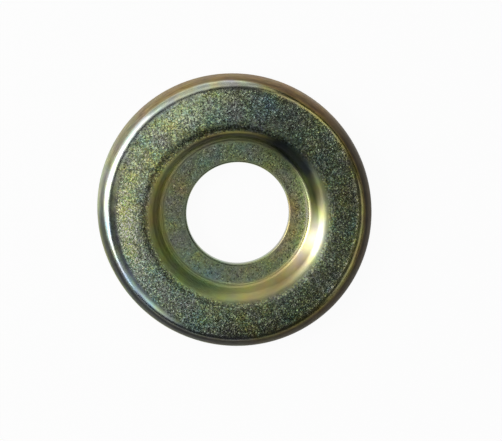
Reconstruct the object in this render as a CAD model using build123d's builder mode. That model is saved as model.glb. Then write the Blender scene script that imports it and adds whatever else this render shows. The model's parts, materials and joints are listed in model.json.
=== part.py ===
"""Belleville washer with a recessed seat and a turned-down rim, stamped from one piece of sheet steel.

The washer lies on the foot of its rim. Its origin is the centre of the foot plane, and +Z runs along its
axis towards the crown. Lengths are millimetres and angles are degrees.
"""

from build123d import *
from math import asin, cos, degrees, radians, sin, tan
import os

# Blank: the sheet and its punched hole.
sheet = 1.2  # thickness of the steel, the same all along the section
hole_diameter = 13.0
outer_diameter = 35.0  # across the foot of the rim, before its edge is broken

# Recess that takes the head of the bolt.
seat_diameter = 18.0  # flat floor of the recess
seat_lift = 0.3  # underside of the seat above the foot plane: how far the spring can be pressed
recess_slope = 75.0  # of the straight stretch of the recess wall
recess_wall = 0.25  # length of that stretch, between its two bends

# Crown and rim.
crown_start_fall = 1.5  # outward fall of the crown where it leaves the lip of the recess
crown_dome_radius = 30.0  # the crown falls away faster towards the rim
rim_flare = 9.0  # how far the rim leans out from the vertical

# Bends, each given on its inside, where the tool's edge presses.
seat_bend = 0.5  # on top, between the seat and the recess wall
lip_bend = 0.8  # underneath, between the recess wall and the crown
shoulder_bend = 0.9  # underneath, between the crown and the rim

# Worked edges.
hole_rollover = 0.2  # round drawn in by the punch as it enters from above
hole_break = 0.1  # chamfer that takes off the burr where the punch came out
foot_break = 0.12  # chamfer on both edges of the trimmed foot

# Outside radii of the two convex bends of the upper face.
lip_radius = lip_bend + sheet
shoulder_radius = shoulder_bend + sheet

# The foot is drawn this far below its plane, and then trimmed level.
trim_allowance = sheet


def crown_end_fall(crown_start):
    """Fall of the crown where it enters the shoulder.

    The dome of the crown, the shoulder and the rim follow each other tangent to tangent. This is the one
    slope at which the rim's outer face, carried on down, lands on the outer diameter at the foot plane.
    """
    flare = radians(rim_flare)
    fall = radians(crown_start_fall)
    room = outer_diameter / 2 - crown_start.X + crown_dome_radius * sin(fall) - shoulder_radius * cos(flare)
    drop = crown_start.Y - crown_dome_radius * cos(fall) + shoulder_radius * sin(flare)
    reach = (room - drop * tan(flare)) * cos(flare) / (crown_dome_radius - shoulder_radius)
    return degrees(asin(reach)) - rim_flare


with BuildPart() as washer:
    with BuildSketch(Plane.XZ) as section:
        with BuildLine():
            # Upper face of the section, from the hole outwards, each stretch tangent to the last.
            seat_level = seat_lift + sheet
            seat = Line((hole_diameter / 2, seat_level), (seat_diameter / 2, seat_level))
            seat_corner = JernArc(seat @ 1, seat % 1, seat_bend, recess_slope)
            wall = PolarLine(seat_corner @ 1, recess_wall, direction=seat_corner % 1)
            lip = JernArc(wall @ 1, wall % 1, lip_radius, -recess_slope - crown_start_fall)
            crown_turn = crown_end_fall(lip @ 1) - crown_start_fall
            crown = JernArc(lip @ 1, lip % 1, crown_dome_radius, -crown_turn)
            shoulder_turn = 90 - rim_flare - crown_start_fall - crown_turn
            shoulder = JernArc(crown @ 1, crown % 1, shoulder_radius, -shoulder_turn)
            rim_height = (shoulder @ 1).Y + trim_allowance
            rim = PolarLine(shoulder @ 1, rim_height / cos(radians(rim_flare)), direction=shoulder % 1)
            # The lower face runs parallel to it, one sheet thickness below.
            offset(amount=sheet, side=Side.RIGHT, closed=True)
        make_face()

        # Trim the rim level on the foot plane, and break both edges of the foot.
        split(bisect_by=Plane.ZX, keep=Keep.TOP)
        chamfer(section.vertices().group_by(Axis.Y)[0], foot_break)

        # Hole: rollover on top, burr taken off underneath.
        fillet(section.vertices().group_by(Axis.X)[0].sort_by(Axis.Y)[-1], hole_rollover)
        chamfer(section.vertices().group_by(Axis.X)[0].sort_by(Axis.Y)[0], hole_break)
    revolve(axis=Axis.Z)

washer.part.label = "washer"

os.makedirs("parts", exist_ok=True)
export_step(washer.part, "parts/washer.step")
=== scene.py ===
import json
from math import asin, cos, pi, radians, sin, tan

import bpy
import numpy as np
from mathutils import Matrix, Vector


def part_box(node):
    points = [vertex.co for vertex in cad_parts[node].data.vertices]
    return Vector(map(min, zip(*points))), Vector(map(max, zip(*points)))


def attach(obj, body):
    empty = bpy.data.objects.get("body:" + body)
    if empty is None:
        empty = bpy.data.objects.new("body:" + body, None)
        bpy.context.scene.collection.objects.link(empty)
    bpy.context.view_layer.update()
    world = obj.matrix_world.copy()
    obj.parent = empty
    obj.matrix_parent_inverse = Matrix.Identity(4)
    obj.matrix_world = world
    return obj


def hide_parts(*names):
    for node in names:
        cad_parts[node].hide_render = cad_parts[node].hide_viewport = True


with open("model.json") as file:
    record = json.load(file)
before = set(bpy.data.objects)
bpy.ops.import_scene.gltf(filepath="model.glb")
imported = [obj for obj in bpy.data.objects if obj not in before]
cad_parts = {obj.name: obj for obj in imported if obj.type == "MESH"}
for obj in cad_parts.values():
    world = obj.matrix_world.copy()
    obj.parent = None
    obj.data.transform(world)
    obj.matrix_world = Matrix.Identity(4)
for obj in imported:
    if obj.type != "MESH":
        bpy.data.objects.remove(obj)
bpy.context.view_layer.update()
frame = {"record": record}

# ---------------------------------------------------------------------------------------------------------
# Washer: one disc of sheet steel, punched and pressed into a recessed seat, a domed crown and a turned-down
# rim. It is zinc plated and dipped in yellow chromate, which leaves a thin iridescent film. The flats keep
# the grain of the sheet, and the press tool has burnished the bends and the rim smooth.
mm = 0.001

# Sizes that the frame gives.
cad_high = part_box("washer")[1]
mounts = {mount["name"]: mount for mount in frame["record"]["mounts"]}
hole_radius = mounts["bolt_hole"]["dims"]["r_mm"] * mm
seat_level = mounts["seat"]["pos_m"][2]

# Sizes of the section, as the press tool has them.
sheet = 1.2 * mm
seat_radius = 9.0 * mm
seat_bend = 0.5 * mm
recess_slope = radians(75)
recess_wall = 0.25 * mm
lip_radius = 2.0 * mm
crown_start_fall = radians(1.5)
crown_dome_radius = 30.0 * mm
shoulder_radius = 2.1 * mm
rim_flare = radians(9)
hole_rollover = 0.2 * mm
hole_break = 0.1 * mm
foot_break = 0.12 * mm
edge_ease = 0.02 * mm  # how blunt each cut edge is
outer_radius = cad_high.x + foot_break * sin(rim_flare)  # across the foot, before its edge is broken

# The recess as it came out: each size all round, what its wide side adds to it and what its steep side adds.
wide_side, steep_side = radians(-24), radians(90)
wide_sharpness, steep_sharpness = 5, 2  # how soon each side gives way to the other
soft_radius = 9.07 * mm, -0.13 * mm, -0.04 * mm  # at which the flat seat ends
soft_bend = 0.7 * mm, 0.2 * mm, -0.1 * mm  # radius of the bend up from the seat
soft_slope = radians(60), radians(-15), radians(14)  # of the wall
soft_lip = 2.5 * mm, 0.2 * mm, -0.4 * mm  # radius of the bend onto the crown
settled = 0.01 * mm  # by how much the crown sank
# The punch went in a little to one side. The hole's edge lies this far off, and the seat's edge not at all.
punched_off, punched_towards = 0.3 * mm, radians(-17)
# The rim is a little out of round below the shoulder: longer one way, shorter across it, and drawn in by a
# small share of that, so that it nowhere passes its true size.
out_of_round, long_way, drawn_in = 0.011, radians(-45), 0.06
shoulder_start = 15.5 * mm

turns = 480  # steps round the washer
rollover_rows, seat_rows, bend_rows, lip_rows, crown_rows, shoulder_rows, rim_rows = 5, 28, 16, 24, 20, 26, 6
outer_foot_rows = 5  # of the foot's rows, those up to the middle of the outer corner that it stands on
angles = np.linspace(0, 2 * pi, turns, endpoint=False)


def arc(centre, radius, first, last, rows):
    """A run of the section on which its heading h goes evenly from first to last: centre + radius (sin h,
    -cos h). A negative radius bends it downwards. Gives rows of points as (radius, height), and of headings,
    each row the whole way round the washer."""
    along = np.linspace(0, 1, rows)[:, None]
    headings = np.broadcast_to(first + (last - first) * along, (rows, turns))
    points = np.stack([centre[0] + radius * np.sin(headings), centre[1] - radius * np.cos(headings)], axis=2)
    return points, headings


def towards(side, sharpness):
    """1 in one direction and 0 in the opposite one: half of one plus the cosine, to the power sharpness."""
    return (0.5 + 0.5 * np.cos(angles - side)) ** sharpness


def upper_face():
    """The upper face of the section, from the hole to the foot, each run tangent to the last.

    The recess came out a little uneven: a bend, a straight wall and a lip, whose sizes change round it. The
    wall gets the length with which the lip just touches the crown. As seen from the crown's centre, with q
    the lip's centre for no wall, t the way up the wall and r the distance that the lip's centre keeps, it is
    the root of |q + length t| = r, which is sqrt((q . t)^2 - q . q + r^2) - q . t.
    """
    wide, steep = towards(wide_side, wide_sharpness), towards(steep_side, steep_sharpness)
    start, bend, slope, lip = (
        even + on_wide * wide + on_steep * steep
        for even, on_wide, on_steep in (soft_radius, soft_bend, soft_slope, soft_lip)
    )

    # The even section that the tool was made to, for where the crown's centre lies.
    even_radius = seat_radius + seat_bend * sin(recess_slope) + recess_wall * cos(recess_slope)
    even_radius += lip_radius * (sin(recess_slope) + sin(crown_start_fall))
    even_height = seat_level + seat_bend * (1 - cos(recess_slope)) + recess_wall * sin(recess_slope)
    even_height += lip_radius * (cos(crown_start_fall) - cos(recess_slope))
    crown = (
        even_radius - crown_dome_radius * sin(crown_start_fall),
        even_height - crown_dome_radius * cos(crown_start_fall) - settled,
    )

    bend_centre = np.stack([start, seat_level + bend])
    up_wall = np.stack([np.cos(slope), np.sin(slope)])
    to_lip = (bend + lip) * np.stack([np.sin(slope), -np.cos(slope)])
    away = bend_centre + to_lip - np.array(crown)[:, None]
    uphill = (away * up_wall).sum(axis=0)
    length = np.sqrt(uphill**2 - (away**2).sum(axis=0) + (crown_dome_radius - lip) ** 2) - uphill
    lip_centre = bend_centre + to_lip + length * up_wall
    fall = np.arcsin((lip_centre[0] - crown[0]) / (crown_dome_radius - lip))

    # The shoulder touches the crown from inside, and the straight rim as well. Its centre lies reach away
    # from the crown's, at the angle brink from upright, with reach * sin(brink + rim_flare) = room.
    reach = crown_dome_radius - shoulder_radius
    room = (outer_radius - crown[0]) * cos(rim_flare) - shoulder_radius - crown[1] * sin(rim_flare)
    brink = asin(room / reach) - rim_flare
    shoulder = crown[0] + reach * sin(brink), crown[1] + reach * cos(brink)

    seat_radii = np.linspace(hole_radius + hole_rollover, start, seat_rows)[:-1]
    seat = np.stack([seat_radii, np.full_like(seat_radii, seat_level)], axis=2)
    runs = [
        (seat, np.zeros(seat.shape[:2])),
        arc(bend_centre, bend, 0, slope, bend_rows),
        arc(lip_centre, -lip, slope, -fall, lip_rows),
        arc(crown, -crown_dome_radius, -fall, -brink, crown_rows),
        arc(shoulder, -shoulder_radius, -brink, rim_flare - pi / 2, shoulder_rows),
    ]
    # The crown and the shoulder begin where the run before them ends, so their first rows are left out.
    points, headings = (
        np.concatenate([run[i] for run in runs[:3]] + [run[i][1:] for run in runs[3:]]) for i in (0, 1)
    )
    last = points[-1, 0]
    drop = np.linspace(0, 1, rim_rows)[1:, None] * (foot_break * cos(rim_flare) - last[1])
    rim = last + drop * (-tan(rim_flare), 1)
    rim = rim[:, None] + np.zeros((1, turns, 1))
    rim_headings = np.full(rim.shape[:2], rim_flare - pi / 2)
    return np.concatenate([points, rim]), np.concatenate([headings, rim_headings])


def eased(*corners):
    """A chain of straight edges with its inner corners blunted. Each becomes a small curve of three points:
    its start, edge_ease before the corner, its middle, and its end, edge_ease after the corner."""
    corners = np.array(corners)
    before, after = corners[:-2] - corners[1:-1], corners[2:] - corners[1:-1]
    starts = corners[1:-1] + edge_ease * before / np.linalg.norm(before, axis=1, keepdims=True)
    ends = corners[1:-1] + edge_ease * after / np.linalg.norm(after, axis=1, keepdims=True)
    middles = (starts + 2 * corners[1:-1] + ends) / 4
    chain = np.stack([starts, middles, ends], axis=1).reshape(-1, 1, 2)
    return np.broadcast_to(chain, (len(chain), turns, 2))


def closed_section():
    """The whole section as one loop of (radius, height) rows: out along the upper face, round the foot, back
    along the lower face, which runs parallel one sheet below with half as many rows, and up the wall of the
    hole. Gives it with the number of rows on the upper side, which ends where the foot stands."""
    upper, headings = upper_face()
    lower = upper - sheet * np.stack([-np.sin(headings), np.cos(headings)], axis=2)
    foot_top = foot_break * cos(rim_flare)
    inner_radius = outer_radius - sheet / cos(rim_flare)
    lower = lower[lower[:, 0, 1] > foot_top + edge_ease][:0:-2]
    foot = eased(
        upper[-2, 0],
        upper[-1, 0],
        (outer_radius - foot_break, 0),
        (inner_radius + foot_break, 0),
        (inner_radius - foot_break * sin(rim_flare), foot_top),
        lower[0, 0],
    )
    hole = eased(
        lower[-1, 0],
        (hole_radius + hole_break, seat_level - sheet),
        (hole_radius, seat_level - sheet + hole_break),
        (hole_radius, seat_level - hole_rollover),
    )
    turned = np.linspace(0, pi / 2, rollover_rows)[:-1]
    rollover = np.stack([1 - np.cos(turned), np.sin(turned) - 1], axis=1) * hole_rollover
    rollover = (rollover + (hole_radius, seat_level))[:, None] + np.zeros((1, turns, 1))
    upper_side = np.concatenate([rollover, upper[:-1], foot[:outer_foot_rows]])
    return np.concatenate([upper_side, foot[outer_foot_rows:], lower, hole]), len(upper_side)


def painting_map(section, split):
    """The map for painting: two discs, of the upper side and of the lower side. On both, a point at angle a
    lies at the disc's middle + d (cos a, sin a), with d the hole's radius plus the way along the section to
    the point from the hole's rim, scaled to fit. The lower disc is mirrored, as it is seen from below."""
    disc_size, upper_middle, lower_middle = 0.288, 0.295, 0.705
    steps = np.linalg.norm(np.roll(section, -1, axis=0) - section, axis=2).mean(axis=1)
    way = np.concatenate([[0], np.cumsum(steps)])
    on_upper = np.arange(len(section)) < split
    starts = hole_radius + np.where(on_upper, way[:-1], way[-1] - way[:-1])
    ends = hole_radius + np.where(on_upper, way[1:], way[-1] - way[1:])
    out = np.stack([starts, ends, ends, starts], axis=1)[:, None] * disc_size / max(starts.max(), ends.max())
    next_angles = angles + 2 * pi / turns
    turned = np.stack([angles, angles, next_angles, next_angles], axis=1)[None]
    middles = np.where(on_upper, upper_middle, lower_middle)[:, None, None]
    mirrored = np.where(on_upper, 1, -1)[:, None, None]
    return np.stack([middles + out * np.cos(turned), middles + out * np.sin(turned) * mirrored], axis=3)


def washer_mesh(section, split):
    """The section carried round +Z: the point (radius, height) at angle a is at (radius cos a, radius sin a,
    height). Within the seat's edge the points move aside with the hole, the more the nearer they are to it.
    From the shoulder to the foot the radius comes to grow by out_of_round (cos 2(a - long_way) - drawn_in)
    of itself. Both directions of the grid close on themselves, and every face points out of the steel."""
    radii, heights = section[:, :, 0], section[:, :, 1]
    moved = punched_off * np.clip((seat_radius - radii) / (seat_radius - hole_radius), 0, 1)
    below_shoulder = np.clip((radii - shoulder_start) / (outer_radius - shoulder_start), 0, 1)
    uneven = out_of_round * (np.cos(2 * (angles - long_way)) - drawn_in) * below_shoulder
    radii = radii * (1 + uneven)
    places = np.stack(
        [
            radii * np.cos(angles) + moved * cos(punched_towards),
            radii * np.sin(angles) + moved * sin(punched_towards),
            heights,
        ],
        axis=2,
    )
    corner = np.arange(radii.size).reshape(radii.shape)
    next_row = np.roll(corner, -1, axis=0)
    quads = np.stack([corner, next_row, np.roll(next_row, -1, axis=1), np.roll(corner, -1, axis=1)], axis=2)
    mesh = bpy.data.meshes.new("washer")
    mesh.from_pydata(places.reshape(-1, 3), [], quads.reshape(-1, 4).tolist())
    mesh.shade_smooth()
    mesh.update()
    unwrapped = mesh.uv_layers.new(name="OFBake")
    unwrapped.data.foreach_set("uv", painting_map(section, split).ravel().astype(np.float32))
    return mesh


section, split = closed_section()
mesh = washer_mesh(section, split)
washer = bpy.data.objects.new("washer_plated", mesh)
bpy.context.scene.collection.objects.link(washer)

# Where each point lies: its radius in millimetres, its angle round the washer, and whether on the upper side.
radius_of = section[:, :, 0].ravel() / mm
angle_of = np.tile(angles, len(section))
above = np.repeat(np.arange(len(section)) < split, turns)


def along_radius(radii, values):
    """The same all round: straight lines between the values at the given radii."""
    return np.interp(radius_of, radii, values)


def leaning(degrees):
    """1 at one side of the washer and -1 at the other: the cosine of the angle between."""
    return np.cos(angle_of - radians(degrees))


def leaning_from(degrees, low, high, values=(0, 1)):
    """The first value where leaning is below low, the second where it is above high, and straight between."""
    return np.interp(leaning(degrees), (low, high), values)


def spot(degrees, radius, half_length, half_width):
    """A soft oval spot: 1 at its middle, exp(-1) at half its length round the washer or half its width."""
    turned = np.angle(np.exp(1j * (angle_of - radians(degrees)))) * radius
    return above * np.exp(-((turned / half_length) ** 2) - ((radius_of - radius) / half_width) ** 2)


def spots(*rows):
    """A sum of soft oval spots. Each row holds one: strength, degrees, radius, half length, half width."""
    return sum(strength * spot(*place) for strength, *place in rows)


# How much of the sheet's grain is left: half on the seat, all on the crown and the underside. The press
# rubbed it off the recess's wall and lip, off the shoulder and off the rim, and wore it at the back.
# The smooth lip ends at a radius of about 11 mm, further out on the right and nearer in at the back.
lip_end = 10.95 + 0.7 * (0.5 + 0.5 * leaning(-12)) ** 2 - 0.6 * leaning_from(92, 0.2, 0.9)
inside_wall = np.clip((9.4 - radius_of) / 0.5, 0, 1)
outside_lip = np.clip((radius_of - lip_end) / (0.6 + 0.5 * spot(-30, 11, 8, 3)) + 0.5, 0, 1)
grain_left = along_radius((6.7, 6.9, 9.2, 9.3, 15.6, 16.1), (0, 0.5, 0.5, 1, 1, 0))
grain_left *= np.where(above, inside_wall + outside_lip, 1)
grain_left *= 1 - np.minimum(1.5 * spot(-15, 15.75, 11, 0.4), 1)
grain_left *= 1 - np.minimum(1.6 * spot(203, 15.75, 13, 0.8), 1)
grain_left *= 1 - 0.4 * leaning_from(85, 0.3, 0.9) * along_radius((10.5, 11.5), (0, 1)) * above

# The film's optical thickness in nanometres: a little more in the recess, and more or less in patches.
film = along_radius((6.5, 8.8, 9.4, 10.8, 12.0, 15.5, 16.5), (1100, 1100, 1150, 1150, 1092, 1092, 1110))
film += along_radius((15.3, 15.8), (0, 50)) * leaning(20)
film += spots(
    # On the seat.
    (40, 0, 8, 6, 2),
    (-50, 120, 7.7, 3, 1),
    (60, 150, 8.0, 2.5, 1),
    # On the recess's wall.
    (-80, -120, 10.2, 5, 1.5),
    # On the crown.
    (-45, 95, 12.5, 6, 1.5),
    (20, 145, 12.4, 4, 1.5),
    (30, 180, 13.8, 8, 2),
    (-95, 70, 13.9, 2.6, 1.4),
    (-40, -135, 14, 6, 3),
    (20, 118, 14.2, 3, 1.5),
)

# The rim's dull stain, where the dip has dried, which also sets where painted shade darkens the rim. It
# begins below the shoulder, and comes lower at the back.
stain_top = 16.0 + 0.5 * np.clip(leaning(130) * 2 - 0.6, 0, 1) + 0.15 * spot(95, 16.7, 8, 1)
stained_and_shaded = np.clip((radius_of - stain_top) / 0.27, 0, 1) * np.where(above, 1, along_radius((16, 16.6), (0, 1)))

# The metal's colour under the film, one layer over the other, each with how much of it there is. Some layers
# go with painted light: pale ones under painted highlights, and dark ones that are painted shade.
on_wall = along_radius((8.9, 9.4, 10.6, 11.6), (0, 1, 1, 0)) * above
on_shoulder = along_radius((15.3, 15.9), (0, 1))
bare_zinc = 0.37, 0.38, 0.345
tint = np.zeros((len(radius_of), 3)) + bare_zinc
for colour, weight in (
    # Seat: brown by the hole, and greenish along its edge, under the painted highlights there.
    ((0.45, 0.40, 0.31), along_radius((7.6, 8.2), (1, 0)) * spot(-8, 7, 6, 9)),
    ((0.41, 0.5, 0.28), spot(8, 9.0, 7, 0.7)),
    ((0.40, 0.46, 0.24), spot(-50, 9.45, 7, 0.2)),
    # Crown: grey and then lime on the left, under a painted highlight, and one blue nick by the shoulder.
    ((0.37, 0.37, 0.38), 0.7 * spot(165, 12.0, 7, 1.2)),
    ((0.43, 0.45, 0.32), spot(182, 13.8, 5, 1.0)),
    ((0.35, 0.5, 0.75), spot(-39, 15.2, 0.5, 0.22)),
    # Recess's wall and lip: gold, paler and bluish under the painted highlight on the wide side, and a
    # painted gold highlight line at the back.
    ((0.40, 0.375, 0.225), on_wall * leaning_from(-110, -0.6, 0.2, (0.25, 1))),
    ((0.42, 0.415, 0.36), on_wall * np.minimum(1.3 * spot(-22, 10.5, 5.5, 9), 1)),
    ((0.48, 0.47, 0.62), spot(-17, 10.6, 3.2, 0.9)),
    ((0.45, 0.5, 0.28), 0.7 * spot(4, 10.3, 2.2, 0.5)),
    ((0.45, 0.4, 0.24), 0.8 * spot(-32, 10.25, 2.6, 0.55)),
    ((0.47, 0.385, 0.31), on_wall * spot(-50, 10.2, 4.5, 3)),
    ((0.55, 0.44, 0.17), spot(88, 10.38, 5, 0.22)),
    ((0.3, 0.33, 0.36), spot(92, 11.1, 9, 0.5)),
    # Recess's wall from the right to the back: painted nearly black, a painted dark reflection.
    ((0.07, 0.1, 0.05), 0.95 * spot(14, 9.95, 3, 0.4)),
    ((0.033, 0.04, 0.055), np.minimum(1.3 * spot(46, 10.25, 5.6, 1.65), 1)),
    # Shoulder: bluish, golden on the right under a painted highlight, and dark violet along the crown on the
    # left, painted shade.
    ((0.47, 0.44, 0.53), on_shoulder),
    ((0.34, 0.29, 0.17), on_shoulder * leaning_from(0, 0.05, 0.5)),
    ((0.36, 0.32, 0.19), spot(-12, 15.38, 10, 0.3)),
    ((0.22, 0.2, 0.3), spot(203, 15.1, 11, 0.25)),
    # A greenish patch on the wall and a grey one on the seat, both at the front left.
    ((0.36, 0.40, 0.22), on_wall * spot(225, 10, 7, 3)),
    ((0.36, 0.395, 0.42), spot(-122, 8.5, 3.2, 0.7)),
    # Rim: brown, warmer at the back, greyer at the left and golden along its foot there, under a painted
    # highlight.
    ((0.3, 0.2, 0.1), stained_and_shaded),
    ((0.35, 0.22, 0.135), stained_and_shaded * leaning_from(100, 0.2, 0.8)),
    ((0.26, 0.24, 0.26), stained_and_shaded * leaning_from(205, 0.15, 0.8)),
    ((0.5, 0.44, 0.16), spot(228, 17.3, 16, 0.35)),
):
    tint += weight[:, None] * (colour - tint)

# How bright the metal is: 1, more where highlights are painted and less where shade and dark reflections are
# painted. The two scratches on the seat's edge are real marks.
painted_light_and_wear = 1 + spots(
    # Seat, and the bend round it: painted highlights along the bend, and painted shade between them.
    (0.5, 5, 8.6, 5, 0.7),
    (0.2, -15, 7.8, 8, 1),
    (1.8, 8, 9.0, 5, 0.26),
    (0.4, -55, 8.98, 7, 0.25),
    (0.25, -25, 9.1, 5, 0.3),
    (0.25, 175, 9.2, 12, 0.17),
    (-0.2, 150, 9.45, 16, 0.12),
    (-0.25, 85, 9.45, 5, 0.25),
    (0.06, -55, 9.6, 4, 0.15),
    (-0.35, -145, 9.62, 11, 0.16),
    (0.12, 180, 9.75, 9, 0.2),
    (-0.35, 3, 9.75, 2.5, 0.25),
    # Two scratches on the seat's edge.
    (1.1, -97, 9.08, 1.5, 0.07),
    (0.9, -84, 9.2, 1.3, 0.06),
    # Recess's wall and lip: the painted highlight on the wide side with painted shade round it, and a painted
    # highlight line at the back.
    (-0.3, -38, 9.9, 2.5, 0.5),
    (-0.25, 105, 10.1, 5, 0.15),
    (-0.55, -32, 10.25, 1.9, 0.5),
    (0.45, 88, 10.4, 3.0, 0.16),
    (-0.25, 190, 10.4, 8, 0.25),
    (-0.5, -55, 10.5, 3.5, 2),
    (0.35, 2, 10.5, 1.8, 0.5),
    (-0.5, 12, 10.6, 2.2, 1.2),
    (0.6, -20, 10.75, 2.0, 0.8),
    (-0.15, -80, 10.9, 3, 0.4),
    (-0.22, 85, 11.0, 6, 0.4),
    (0.25, -60, 11.7, 3, 0.25),
    # Crown: painted shade, and painted highlights on the left.
    (-0.3, 104, 11.45, 5, 0.4),
    (-0.3, -90, 12.2, 3.2, 0.45),
    (0.15, 180, 13, 16, 3),
    (0.95, 185, 13.9, 5, 1.1),
    (0.3, 118, 14.2, 2.5, 1.2),
    # Shoulder: painted shade along the crown on the left, the bright nick, painted highlights, and painted
    # dark lines below them.
    (-0.35, 203, 15.1, 9, 0.3),
    (1.5, -39, 15.2, 0.4, 0.2),
    (1.9, -10, 15.33, 9, 0.2),
    (0.9, 225, 15.5, 2.5, 0.25),
    (-0.4, 180, 15.6, 14, 0.3),
    (-0.4, -10, 15.66, 8, 0.12),
    (-0.3, 82, 15.9, 4, 0.5),
    (-0.2, 128, 15.9, 3.5, 0.4),
    (-0.4, 210, 15.97, 2.5, 0.15),
    (-0.12, 132, 16.0, 3.5, 0.3),
    (-0.4, 100, 16.05, 5, 0.2),
    # Rim: a painted highlight at the front right, painted dark lines, and a strong painted highlight along
    # the foot at the left.
    (0.7, -50, 16.3, 8, 0.12),
    (-0.9, 247, 16.42, 5, 0.18),
    (-0.7, 212, 16.45, 5, 0.17),
    (-0.5, 5, 16.45, 9, 0.12),
    (-0.45, 62, 16.5, 5, 0.35),
    (-0.6, 152, 16.5, 5, 0.17),
    (-0.3, 112, 16.55, 9, 0.1),
    (-0.4, 82, 16.8, 7, 0.13),
    (3.2, 222, 17.35, 15, 0.3),
)
painted_light_and_wear -= 0.25 * along_radius((6.5, 6.75), (1, 0))  # painted shade round the hole's edge
painted_light_and_wear -= 0.16 * along_radius((9.0, 9.5), (1, 0)) * leaning_from(-150, -0.5, 0.5)  # painted shade on the seat's left side
# Painted shade on the recess's wall, all round but for its wide side.
painted_light_and_wear -= 0.7 * along_radius((9.7, 10.0, 10.3, 10.8), (0, 1, 1, 0)) * leaning_from(-30, 0, 0.7, (1, 0.15))
painted_light_and_wear *= 1 - stained_and_shaded * leaning_from(-70, -0.6, -0.25, (0.3, 0.83))  # the stain darkens the rim, partly as painted shade, deepest at the front

# How strongly the tool's streaks show, and how much softer than bare metal the wall and the rim shine.
streaked = 0.6 * along_radius((15.6, 15.9), (0, 1)) * leaning_from(20, -0.5, 0.3, (0.2, 1))
streaked = np.maximum(stained_and_shaded, streaked)
soft_on_wall = along_radius((8.8, 9.3), (0, 1)) * np.clip((lip_end + 0.5 - radius_of) / 0.6, 0, 1) * above
soft = 0.17 * soft_on_wall * (1 - 0.75 * spot(-6, 9.2, 6, 0.5)) + 0.4 * stained_and_shaded

# The colour times its brightness, with the painted highlights and painted shade in it, goes onto the mesh as
# tint.
tint = np.concatenate([np.clip(tint * painted_light_and_wear[:, None], 0, 1), np.ones((len(tint), 1))], axis=1)
mesh.attributes.new("tint", "FLOAT_COLOR", "POINT").data.foreach_set("color", tint.ravel().astype(np.float32))
for name, values in (
    ("grain_left", grain_left),
    ("film", film),
    ("stain", 0.85 * stained_and_shaded),
    ("streaked", streaked),
    ("soft", soft),
):
    mesh.attributes.new(name, "FLOAT", "POINT").data.foreach_set("value", values.astype(np.float32))


class Signal:
    """A socket of a shader node, or a plain number beside one, in a sum that adds a Math node a step. One
    without a socket stands for an empty sheet, on which the first nodes are put."""

    def __init__(self, tree, socket=None):
        self.tree, self.socket = tree, socket

    def node(self, kind, settings=None, inputs=None, output=0):
        """Adds any node: first its settings, then its inputs by name or number, each a value or a signal."""
        made = self.tree.nodes.new(kind)
        for name, value in (settings or {}).items():
            setattr(made, name, value)
        for key, value in (inputs or {}).items():
            if isinstance(value, Signal):
                self.tree.links.new(value.socket, made.inputs[key])
            else:
                made.inputs[key].default_value = value
        return Signal(self.tree, made.outputs[output])

    def output(self, name):
        """Another output of the node that this signal comes from."""
        return Signal(self.tree, self.socket.node.outputs[name])

    def into(self, socket):
        self.tree.links.new(self.socket, socket)

    def math(self, operation, *values):
        return self.node("ShaderNodeMath", {"operation": operation}, dict(enumerate((self,) + values)))

    def vector(self, operation, *values):
        return self.node("ShaderNodeVectorMath", {"operation": operation}, dict(enumerate(values)))

    def __add__(self, other):
        return self.math("ADD", other)

    def __sub__(self, other):
        return self.math("SUBTRACT", other)

    def __rsub__(self, other):
        return self * -1 + other

    def __mul__(self, other):
        return self.math("MULTIPLY", other)

    __radd__, __rmul__ = __add__, __mul__

    def ramp(self, low, high):
        """0 below low, 1 above high, and smooth between them."""
        inputs = {"Value": self, "From Min": low, "From Max": high}
        return self.node("ShaderNodeMapRange", {"interpolation_type": "SMOOTHSTEP"}, inputs)


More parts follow.
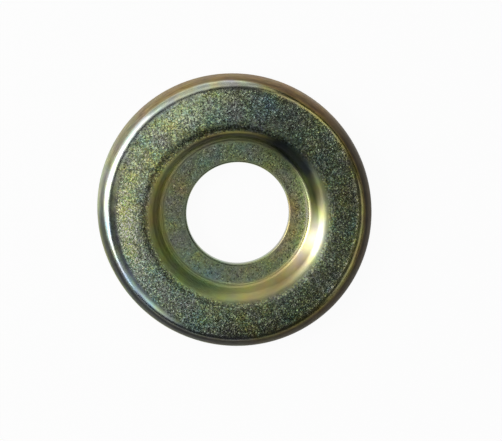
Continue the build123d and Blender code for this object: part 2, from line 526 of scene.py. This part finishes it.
def chromated_zinc():
    """Zinc under its film. Each grain of the sheet leans its own way and has its own brightness, and the
    film's colour is interference: in red, green and blue, 1 + swing * cos(2 pi * thickness / wavelength)."""
    grain_size, fleck_size, streak_size = 0.13 * mm, 0.15 * mm, 1.5 * mm
    streak_length = 9  # round the rim, as a multiple of its height
    wavelengths = 610, 550, 465  # of red, green and blue, in nanometres
    even_swing = 0.25  # how strong the film's colours are where they are even
    base_roughness, grain_roughness = 0.2, 0.06
    material = bpy.data.materials.new("yellow_chromate_on_zinc")
    material.use_nodes = True
    shader = material.node_tree.nodes["Principled BSDF"]
    sheet_of_nodes = Signal(material.node_tree)
    node, vector = sheet_of_nodes.node, sheet_of_nodes.vector
    place = node("ShaderNodeTexCoord", output="Object")

    def attribute(name, output="Fac"):
        return node("ShaderNodeAttribute", {"attribute_name": name}, output=output)

    def noise(size, detail=2, offset=(0, 0, 0), output="Fac"):
        """Soft noise about zero, as a number or a colour, with patches of the given size. The offset keeps
        two of them from having the same pattern."""
        inputs = {"Vector": vector("ADD", place, offset), "Scale": 1 / size, "Detail": detail}
        made = node("ShaderNodeTexNoise", {"noise_dimensions": "3D"}, inputs, output)
        return made - 0.5 if output == "Fac" else vector("SUBTRACT", made, (0.5, 0.5, 0.5))

    def scaled(colour, factor):
        return node("ShaderNodeVectorMath", {"operation": "SCALE"}, {0: colour, "Scale": factor})

    def cells(size):
        """Small cells, each with a colour of its own, and the three parts of that colour."""
        colour = node("ShaderNodeTexVoronoi", {}, {"Vector": place, "Scale": 1 / size}, "Color")
        return colour, node("ShaderNodeSeparateColor", {}, {0: colour})

    facets, facet_parts = cells(grain_size)
    fleck_parts = cells(fleck_size)[1]
    grain_mask = (attribute("grain_left") + noise(0.5 * mm, 3) * 0.8).ramp(0.25, 0.75)

    # The film is uneven over a few millimetres, over one, and from fleck to fleck, and so is its strength.
    film = attribute("film") + noise(4 * mm, 3) * 200 + noise(1.3 * mm, 3, (0.007, 0.003, 0.001)) * 170
    film = film + (fleck_parts.output("Red") - 0.5) * grain_mask * 90
    swing = noise(2.2 * mm, 3, (0.004, 0.008, 0.006)) * 0.8 + even_swing
    swing = swing + (fleck_parts.output("Blue") - 0.5) * grain_mask * 0.3
    phase = vector("MULTIPLY", film, tuple(2 * pi / length for length in wavelengths))
    colour = vector("ADD", scaled(vector("COSINE", phase), swing), (1, 1, 1))
    colour = vector("MULTIPLY", colour, attribute("tint", "Color"))

    # A few flecks are bright and most are dark. The tool's streaks run round the rim.
    fleck_shade = fleck_parts.output("Green").math("POWER", 2) * 1.5 + 0.48
    flattened = vector("MULTIPLY", place, (1, 1, streak_length))
    streak_inputs = {"Vector": flattened, "Scale": 1 / streak_size, "Detail": 3}
    streaks = node("ShaderNodeTexNoise", {}, streak_inputs) - 0.5
    shade = ((fleck_shade - 1) * grain_mask + 1) * (streaks * attribute("streaked") * 1.8 + 1)
    scaled(colour, shade).into(shader.inputs["Base Color"])

    # The stain covers the metal with a dull skin.
    stain = (attribute("stain") * (streaks * 1.1 + 1)).math("MAXIMUM", attribute("stain") * 0.3)
    (1 - stain * 0.85).into(shader.inputs["Metallic"])

    # The grains lean, a few of them far over, and the sheet as a whole is slightly wavy.
    lean_size = grain_mask * (facet_parts.output("Blue").math("POWER", 3) * 0.43 + 0.15) + 0.01
    lean = scaled(vector("SUBTRACT", facets, (0.5, 0.5, 0.5)), lean_size)
    wave = scaled(noise(1.2 * mm, 1, output="Color"), 0.06)
    normal = vector("ADD", node("ShaderNodeNewGeometry", output="Normal"), vector("ADD", lean, wave))
    vector("NORMALIZE", normal).into(shader.inputs["Normal"])
    roughness = grain_mask * grain_roughness + base_roughness + attribute("soft")
    roughness = roughness + noise(0.6 * mm, 3, (0.002, 0.009, 0.004)) * 0.1
    roughness.into(shader.inputs["Roughness"])
    return material


mesh.materials.append(chromated_zinc())
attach(washer, "root")
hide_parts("washer")

# ---------------------------------------------------------------------------------------------------------
# Floor: a wide sheet of white paper that curves up to a low wall all round. Seen by the camera and in the
# metal it is as white as paper under a lamp, and it keeps a little of the washer's shadow.
# Its profile is a row of (radius, height), in metres, outwards from a round face in the middle.
floor_profile = np.array([(0.06, 0), (0.2, 0), (1.6, 0), (1.8, 0.02), (1.95, 0.1), (2, 0.2), (2, 0.5)])
floor_turns = 96
paper_white = 0.95
glow_share = 0.95

floor_angles = np.linspace(0, 2 * pi, floor_turns, endpoint=False)
ring_radii, ring_heights = floor_profile[:, :1], floor_profile[:, 1:]
across, along = ring_radii * np.cos(floor_angles), ring_radii * np.sin(floor_angles)
rings = np.stack(np.broadcast_arrays(across, along, ring_heights), axis=2)
near = np.arange(len(ring_radii) * floor_turns).reshape(-1, floor_turns)
quads = np.stack([near[:-1], near[1:], np.roll(near[1:], -1, 1), np.roll(near[:-1], -1, 1)], 2).reshape(-1, 4)
floor_mesh = bpy.data.meshes.new("floor")
floor_mesh.from_pydata(rings.reshape(-1, 3), [], quads.tolist() + [near[0].tolist()])
floor_mesh.shade_smooth()
floor = bpy.data.objects.new("floor", floor_mesh)
bpy.context.scene.collection.objects.link(floor)

floor_material = bpy.data.materials.new("floor_paper")
floor_material.use_nodes = True
tree = floor_material.node_tree
tree.nodes.remove(tree.nodes["Principled BSDF"])
paper = Signal(tree)
diffuse = paper.node("ShaderNodeBsdfDiffuse", {}, {"Color": (paper_white, paper_white, paper_white, 1)})
glow = paper.node("ShaderNodeEmission", {}, {"Color": (1, 1, 1, 1), "Strength": 1.0})
ray = paper.node("ShaderNodeLightPath", output="Is Camera Ray")
seen = ray + ray.output("Is Glossy Ray") + ray.output("Is Transmission Ray")
mixed = paper.node("ShaderNodeMixShader", {}, {0: seen * glow_share, 1: diffuse, 2: glow})
mixed.into(tree.nodes["Material Output"].inputs["Surface"])
floor_mesh.materials.append(floor_material)

# ---------------------------------------------------------------------------------------------------------
# Lamps: soft boxes round the washer and above it. The key with its bright core stands at the left, and the
# others fill the back, the right and the front at lower levels.
lamp_distance = 0.7


def direction(azimuth, off_vertical):
    """The unit vector (sin v cos a, sin v sin a, cos v) for the azimuth a and the angle v, in degrees."""
    a, v = radians(azimuth), radians(off_vertical)
    return Vector((sin(v) * cos(a), sin(v) * sin(a), cos(v)))


def softbox(name, azimuth, off_vertical, width, height, radiance):
    """A flat lamp that faces the washer. Azimuth and off_vertical give its direction, width and height its
    size as angles, all in degrees, and radiance what a mirror would show of it."""
    way = direction(azimuth, off_vertical)
    lamp = bpy.data.lights.new(name, "AREA")
    lamp.shape = "RECTANGLE"
    lamp.size = 2 * lamp_distance * tan(radians(width) / 2)
    lamp.size_y = 2 * lamp_distance * tan(radians(height) / 2)
    lamp.energy = radiance * pi * lamp.size * lamp.size_y
    holder = bpy.data.objects.new(name, lamp)
    holder.location = way * lamp_distance
    holder.rotation_euler = way.to_track_quat("Z", "Y").to_euler()
    holder.visible_camera = False
    bpy.context.scene.collection.objects.link(holder)


softbox("key", 168, 65, 58, 42, 1.7)
softbox("key_core", 168, 60, 21, 19, 3.1)
softbox("left", 209, 50, 27, 13, 3)
softbox("back", 129, 62, 104, 46, 0.65)
softbox("back_upper", 107, 48, 68, 13, 0.7)
softbox("right_back", 43, 37, 30, 13, 1.05)
softbox("ceiling", 147, 15, 30, 20, 0.88)
softbox("front_left", 234, 36, 20, 18, 0.8)
softbox("front", 275, 14, 26, 16, 0.4)
softbox("right", 338, 46, 36, 13, 0.77)
softbox("right_low", 10, 80, 100, 16, 0.25)
softbox("front_low", 313, 69, 20, 20, 0.56)

world = bpy.data.worlds.new("studio")
world.use_nodes = True
background = world.node_tree.nodes["Background"]
background.inputs["Color"].default_value = (1, 1, 1, 1)
background.inputs["Strength"].default_value = 0.02
bpy.context.scene.world = world

# ---------------------------------------------------------------------------------------------------------
# Camera: almost straight above the washer, a little towards its back, with +Y upwards in the view. The lens
# is shifted, so that the washer lies left of the middle.
camera_distance = 0.151
camera_azimuth, camera_off_vertical = 107, 9
lens = bpy.data.cameras.new("camera")
lens.lens = 85
lens.shift_x = 0.0316
lens.shift_y = -0.0185
lens.clip_start = 0.01
camera = bpy.data.objects.new("camera", lens)
way = direction(camera_azimuth, camera_off_vertical)
right = (-way).cross(Vector((0, 1, 0))).normalized()
facing = Matrix((right, way.cross(right), way)).transposed()
camera.matrix_world = Matrix.Translation(way * camera_distance) @ facing.to_4x4()
bpy.context.scene.collection.objects.link(camera)
bpy.context.scene.camera = camera
bpy.context.scene.view_settings.view_transform = "Standard"
